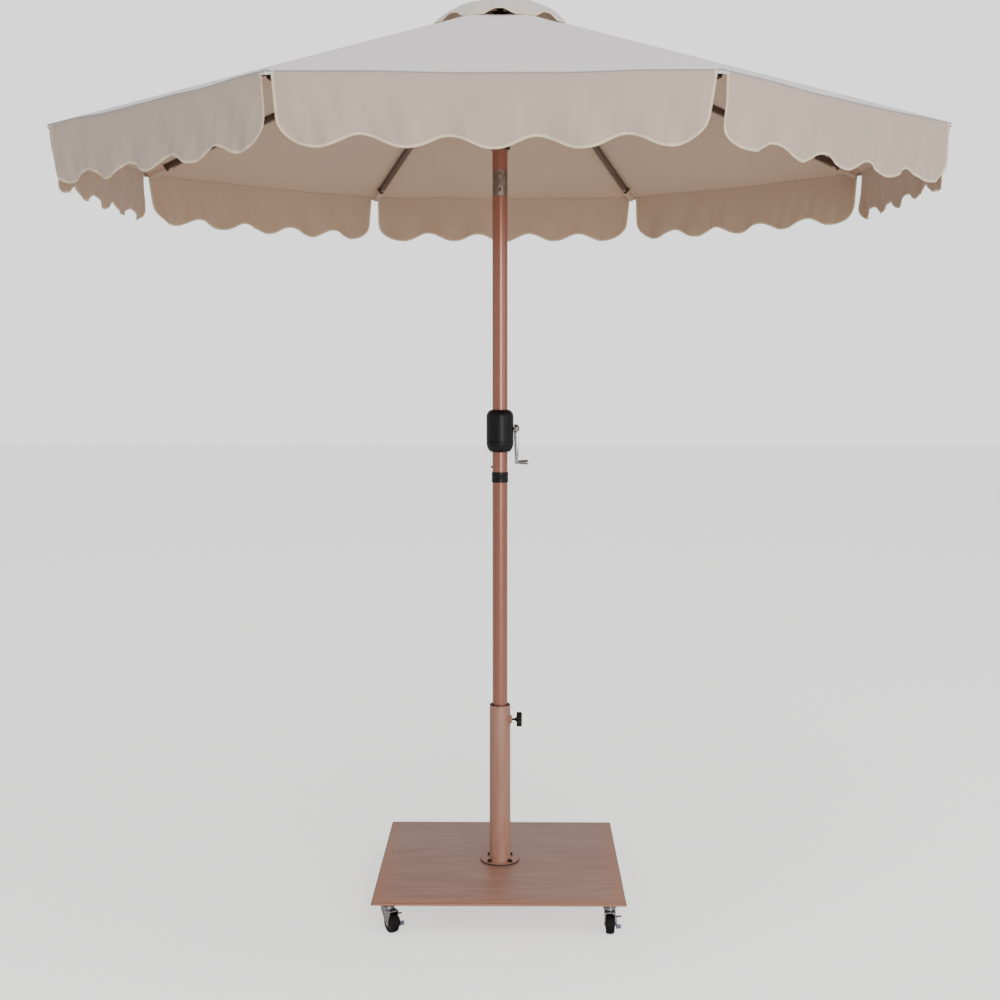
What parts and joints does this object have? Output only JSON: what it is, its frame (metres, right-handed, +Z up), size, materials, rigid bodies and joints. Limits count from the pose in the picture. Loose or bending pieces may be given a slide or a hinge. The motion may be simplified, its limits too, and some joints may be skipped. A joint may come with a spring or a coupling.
{
  "type": "patio umbrella with base",
  "caption": "Octagonal crank-and-tilt patio umbrella with scalloped valances, on a square wood-look steel stand with locking casters.",
  "frame": {"origin": "on the floor, under the axis of the pole, at the middle of the open umbrella", "axes": "+Z up along the pole, +X towards the crank handle, -Y towards the tilt button, which is the front"},
  "size_m": [1.9772, 1.9772, 2.2423],
  "materials": {
    "fabric": "woven polyester, sand grey outside, cream piping",
    "pole_finish": "copper-brown wood-look coating, satin",
    "wood_finish": "wood-grain printed coating, satin",
    "black_plastic": "moulded black plastic",
    "grey_metal": "dull zinc-plated steel",
    "chrome": "bright plated steel",
    "rib_paint": "dark brown powder coat",
    "rubber": "black rubber tread"
  },
  "bodies": {
    "stand": {"base_plate": "wood_finish", "base_tube": "wood_finish", "pole_sleeve": "black_plastic", "flange_bolt_1": "chrome", "flange_bolt_2": "chrome", "flange_bolt_3": "chrome", "flange_bolt_4": "chrome"},
    "clamp_knob": {"clamp_knob": "black_plastic"},
    "mast": {"pole_foot": "black_plastic", "lower_pole": "pole_finish", "pole_collar": "black_plastic", "middle_pole": "pole_finish", "crank_housing": "black_plastic", "crank_housing_cap": "black_plastic", "upper_pole": "pole_finish", "tilt_bracket": "grey_metal", "tilt_pin": "grey_metal"},
    "snap_pin": {"snap_pin": "chrome"},
    "crank": {"crank_spool": "grey_metal", "crank_arm": "chrome"},
    "crank_grip": {"crank_grip": "chrome"},
    "tilt_button": {"tilt_button": "chrome"},
    "head": {"tilt_tongue": "grey_metal", "top_pole": "pole_finish", "top_hub": "black_plastic", "cap_nut": "black_plastic", "canopy": "fabric", "vent_cap": "fabric"},
    "cord_pulley": {"cord_pulley": "grey_metal"},
    "runner": {"runner": "black_plastic"},
    "swivel_front_left": {"caster_fork_front_left": "chrome"},
    "wheel_front_left": {"caster_wheel_front_left": "rubber"},
    "brake_front_left": {"caster_brake_front_left": "grey_metal"},
    "swivel_front_right": {"caster_fork_front_right": "chrome"},
    "wheel_front_right": {"caster_wheel_front_right": "rubber"},
    "brake_front_right": {"caster_brake_front_right": "grey_metal"},
    "swivel_back_left": {"caster_fork_back_left": "chrome"},
    "wheel_back_left": {"caster_wheel_back_left": "rubber"},
    "brake_back_left": {"caster_brake_back_left": "grey_metal"},
    "swivel_back_right": {"caster_fork_back_right": "chrome"},
    "wheel_back_right": {"caster_wheel_back_right": "rubber"},
    "brake_back_right": {"caster_brake_back_right": "grey_metal"},
    "rib_1": {"rib_1": "rib_paint"},
    "strut_1": {"strut_1": "rib_paint"},
    "rib_2": {"rib_2": "rib_paint"},
    "strut_2": {"strut_2": "rib_paint"},
    "rib_3": {"rib_3": "rib_paint"},
    "strut_3": {"strut_3": "rib_paint"},
    "rib_4": {"rib_4": "rib_paint"},
    "strut_4": {"strut_4": "rib_paint"},
    "rib_5": {"rib_5": "rib_paint"},
    "strut_5": {"strut_5": "rib_paint"},
    "rib_6": {"rib_6": "rib_paint"},
    "strut_6": {"strut_6": "rib_paint"},
    "rib_7": {"rib_7": "rib_paint"},
    "strut_7": {"strut_7": "rib_paint"},
    "rib_8": {"rib_8": "rib_paint"},
    "strut_8": {"strut_8": "rib_paint"}
  },
  "joints": [
    {"name": "swivel_front_left", "type": "hinge", "parent": "stand", "child": "swivel_front_left", "pos_m": [-0.267, -0.267, 0.066], "axis": [0, 0, 1], "continuous": true},
    {"name": "wheel_front_left", "type": "hinge", "parent": "swivel_front_left", "child": "wheel_front_left", "pos_m": [-0.2572, -0.2821, 0.0245], "axis": [0.8387, 0.5446, 0], "continuous": true},
    {"name": "brake_front_left", "type": "hinge", "parent": "swivel_front_left", "child": "brake_front_left", "pos_m": [-0.2572, -0.2821, 0.0245], "axis": [0.8387, 0.5446, 0], "range_deg": [-12, 12]},
    {"name": "swivel_front_right", "type": "hinge", "parent": "stand", "child": "swivel_front_right", "pos_m": [0.267, -0.267, 0.066], "axis": [0, 0, 1], "continuous": true},
    {"name": "wheel_front_right", "type": "hinge", "parent": "swivel_front_right", "child": "wheel_front_right", "pos_m": [0.267, -0.285, 0.0245], "axis": [1, 0, 0], "continuous": true},
    {"name": "brake_front_right", "type": "hinge", "parent": "swivel_front_right", "child": "brake_front_right", "pos_m": [0.267, -0.285, 0.0245], "axis": [1, 0, 0], "range_deg": [-12, 12]},
    {"name": "swivel_back_left", "type": "hinge", "parent": "stand", "child": "swivel_back_left", "pos_m": [-0.267, 0.267, 0.066], "axis": [0, 0, 1], "continuous": true},
    {"name": "wheel_back_left", "type": "hinge", "parent": "swivel_back_left", "child": "wheel_back_left", "pos_m": [-0.27316, 0.28391, 0.0245], "axis": [-0.9397, -0.342, 0], "continuous": true},
    {"name": "brake_back_left", "type": "hinge", "parent": "swivel_back_left", "child": "brake_back_left", "pos_m": [-0.27316, 0.28391, 0.0245], "axis": [-0.9397, -0.342, 0], "range_deg": [-12, 12]},
    {"name": "swivel_back_right", "type": "hinge", "parent": "stand", "child": "swivel_back_right", "pos_m": [0.267, 0.267, 0.066], "axis": [0, 0, 1], "continuous": true},
    {"name": "wheel_back_right", "type": "hinge", "parent": "swivel_back_right", "child": "wheel_back_right", "pos_m": [0.27166, 0.28439, 0.0245], "axis": [-0.9659, 0.2588, 0], "continuous": true},
    {"name": "brake_back_right", "type": "hinge", "parent": "swivel_back_right", "child": "brake_back_right", "pos_m": [0.27166, 0.28439, 0.0245], "axis": [-0.9659, 0.2588, 0], "range_deg": [-12, 12]},
    {"name": "clamp_knob_turn", "type": "hinge", "parent": "stand", "child": "clamp_knob", "pos_m": [0.05, 0, 0.4514], "axis": [1, 0, 0], "continuous": true},
    {"name": "mast_turn", "type": "hinge", "parent": "stand", "child": "mast", "pos_m": [0, 0, 0.1], "axis": [0, 0, 1], "continuous": true},
    {"name": "snap_pin_press", "type": "slide", "parent": "mast", "child": "snap_pin", "axis": [1, 0, 0], "range_m": [0, 0.0045], "stiffness_N_per_m": 400, "springref_m": -0.003},
    {"name": "tilt_button_press", "type": "slide", "parent": "mast", "child": "tilt_button", "axis": [0, 1, 0], "range_m": [0, 0.0035], "stiffness_N_per_m": 400, "springref_m": -0.003},
    {"name": "tilt", "type": "hinge", "parent": "mast", "child": "head", "pos_m": [0, 0, 1.8139], "axis": [0, 1, 0], "range_deg": [-40, 0]},
    {"name": "fold_1", "type": "hinge", "parent": "head", "child": "rib_1", "pos_m": [0.03141, 0.01301, 2.1975], "axis": [-0.3827, 0.9239, 0], "range_deg": [0, 66], "deforming": ["canopy", "vent_cap"]},
    {"name": "strut_1_swing", "type": "hinge", "parent": "rib_1", "child": "strut_1", "pos_m": [0.42681, 0.17679, 2.05844], "axis": [-0.3827, 0.9239, 0], "range_deg": [-132, 0]},
    {"name": "fold_2", "type": "hinge", "parent": "head", "child": "rib_2", "pos_m": [0.01301, 0.03141, 2.1975], "axis": [-0.9239, 0.3827, 0], "range_deg": [0, 66]},
    {"name": "strut_2_swing", "type": "hinge", "parent": "rib_2", "child": "strut_2", "pos_m": [0.17679, 0.42681, 2.05844], "axis": [-0.9239, 0.3827, 0], "range_deg": [-132, 0]},
    {"name": "fold_3", "type": "hinge", "parent": "head", "child": "rib_3", "pos_m": [-0.01301, 0.03141, 2.1975], "axis": [-0.9239, -0.3827, 0], "range_deg": [0, 66]},
    {"name": "strut_3_swing", "type": "hinge", "parent": "rib_3", "child": "strut_3", "pos_m": [-0.17679, 0.42681, 2.05844], "axis": [-0.9239, -0.3827, 0], "range_deg": [-132, 0]},
    {"name": "fold_4", "type": "hinge", "parent": "head", "child": "rib_4", "pos_m": [-0.03141, 0.01301, 2.1975], "axis": [-0.3827, -0.9239, 0], "range_deg": [0, 66]},
    {"name": "strut_4_swing", "type": "hinge", "parent": "rib_4", "child": "strut_4", "pos_m": [-0.42681, 0.17679, 2.05844], "axis": [-0.3827, -0.9239, 0], "range_deg": [-132, 0]},
    {"name": "fold_5", "type": "hinge", "parent": "head", "child": "rib_5", "pos_m": [-0.03141, -0.01301, 2.1975], "axis": [0.3827, -0.9239, 0], "range_deg": [0, 66]},
    {"name": "strut_5_swing", "type": "hinge", "parent": "rib_5", "child": "strut_5", "pos_m": [-0.42681, -0.17679, 2.05844], "axis": [0.3827, -0.9239, 0], "range_deg": [-132, 0]},
    {"name": "fold_6", "type": "hinge", "parent": "head", "child": "rib_6", "pos_m": [-0.01301, -0.03141, 2.1975], "axis": [0.9239, -0.3827, 0], "range_deg": [0, 66]},
    {"name": "strut_6_swing", "type": "hinge", "parent": "rib_6", "child": "strut_6", "pos_m": [-0.17679, -0.42681, 2.05844], "axis": [0.9239, -0.3827, 0], "range_deg": [-132, 0]},
    {"name": "fold_7", "type": "hinge", "parent": "head", "child": "rib_7", "pos_m": [0.01301, -0.03141, 2.1975], "axis": [0.9239, 0.3827, 0], "range_deg": [0, 66]},
    {"name": "strut_7_swing", "type": "hinge", "parent": "rib_7", "child": "strut_7", "pos_m": [0.17679, -0.42681, 2.05844], "axis": [0.9239, 0.3827, 0], "range_deg": [-132, 0]},
    {"name": "fold_8", "type": "hinge", "parent": "head", "child": "rib_8", "pos_m": [0.03141, -0.01301, 2.1975], "axis": [0.3827, 0.9239, 0], "range_deg": [0, 66]},
    {"name": "strut_8_swing", "type": "hinge", "parent": "rib_8", "child": "strut_8", "pos_m": [0.42681, -0.17679, 2.05844], "axis": [0.3827, 0.9239, 0], "range_deg": [-132, 0]},
    {"name": "runner_hang", "type": "hinge", "parent": "strut_1", "child": "runner", "pos_m": [0.03141, 0.01301, 1.91938], "axis": [-0.3827, 0.9239, 0], "range_deg": [0, 66]},
    {"name": "crank_turn", "type": "hinge", "parent": "mast", "child": "crank", "pos_m": [0.03, 0, 1.1982], "axis": [1, 0, 0], "continuous": true},
    {"name": "crank_grip_spin", "type": "hinge", "parent": "crank", "child": "crank_grip", "pos_m": [0.055, 0, 1.1134], "axis": [1, 0, 0], "continuous": true},
    {"name": "pulley_spin", "type": "hinge", "parent": "head", "child": "cord_pulley", "pos_m": [0, 0, 2.1675], "axis": [0, 1, 0], "continuous": true}
  ],
  "couplings": [
    {"joint": "strut_1_swing", "follows": "fold_1", "ratio": -2},
    {"joint": "fold_2", "follows": "fold_1", "ratio": 1},
    {"joint": "strut_2_swing", "follows": "fold_1", "ratio": -2},
    {"joint": "fold_3", "follows": "fold_1", "ratio": 1},
    {"joint": "strut_3_swing", "follows": "fold_1", "ratio": -2},
    {"joint": "fold_4", "follows": "fold_1", "ratio": 1},
    {"joint": "strut_4_swing", "follows": "fold_1", "ratio": -2},
    {"joint": "fold_5", "follows": "fold_1", "ratio": 1},
    {"joint": "strut_5_swing", "follows": "fold_1", "ratio": -2},
    {"joint": "fold_6", "follows": "fold_1", "ratio": 1},
    {"joint": "strut_6_swing", "follows": "fold_1", "ratio": -2},
    {"joint": "fold_7", "follows": "fold_1", "ratio": 1},
    {"joint": "strut_7_swing", "follows": "fold_1", "ratio": -2},
    {"joint": "fold_8", "follows": "fold_1", "ratio": 1},
    {"joint": "strut_8_swing", "follows": "fold_1", "ratio": -2},
    {"joint": "runner_hang", "follows": "fold_1", "ratio": 1},
    {"joint": "crank_turn", "follows": "fold_1", "ratio": 46.364},
    {"joint": "pulley_spin", "follows": "fold_1", "ratio": 60}
  ]
}
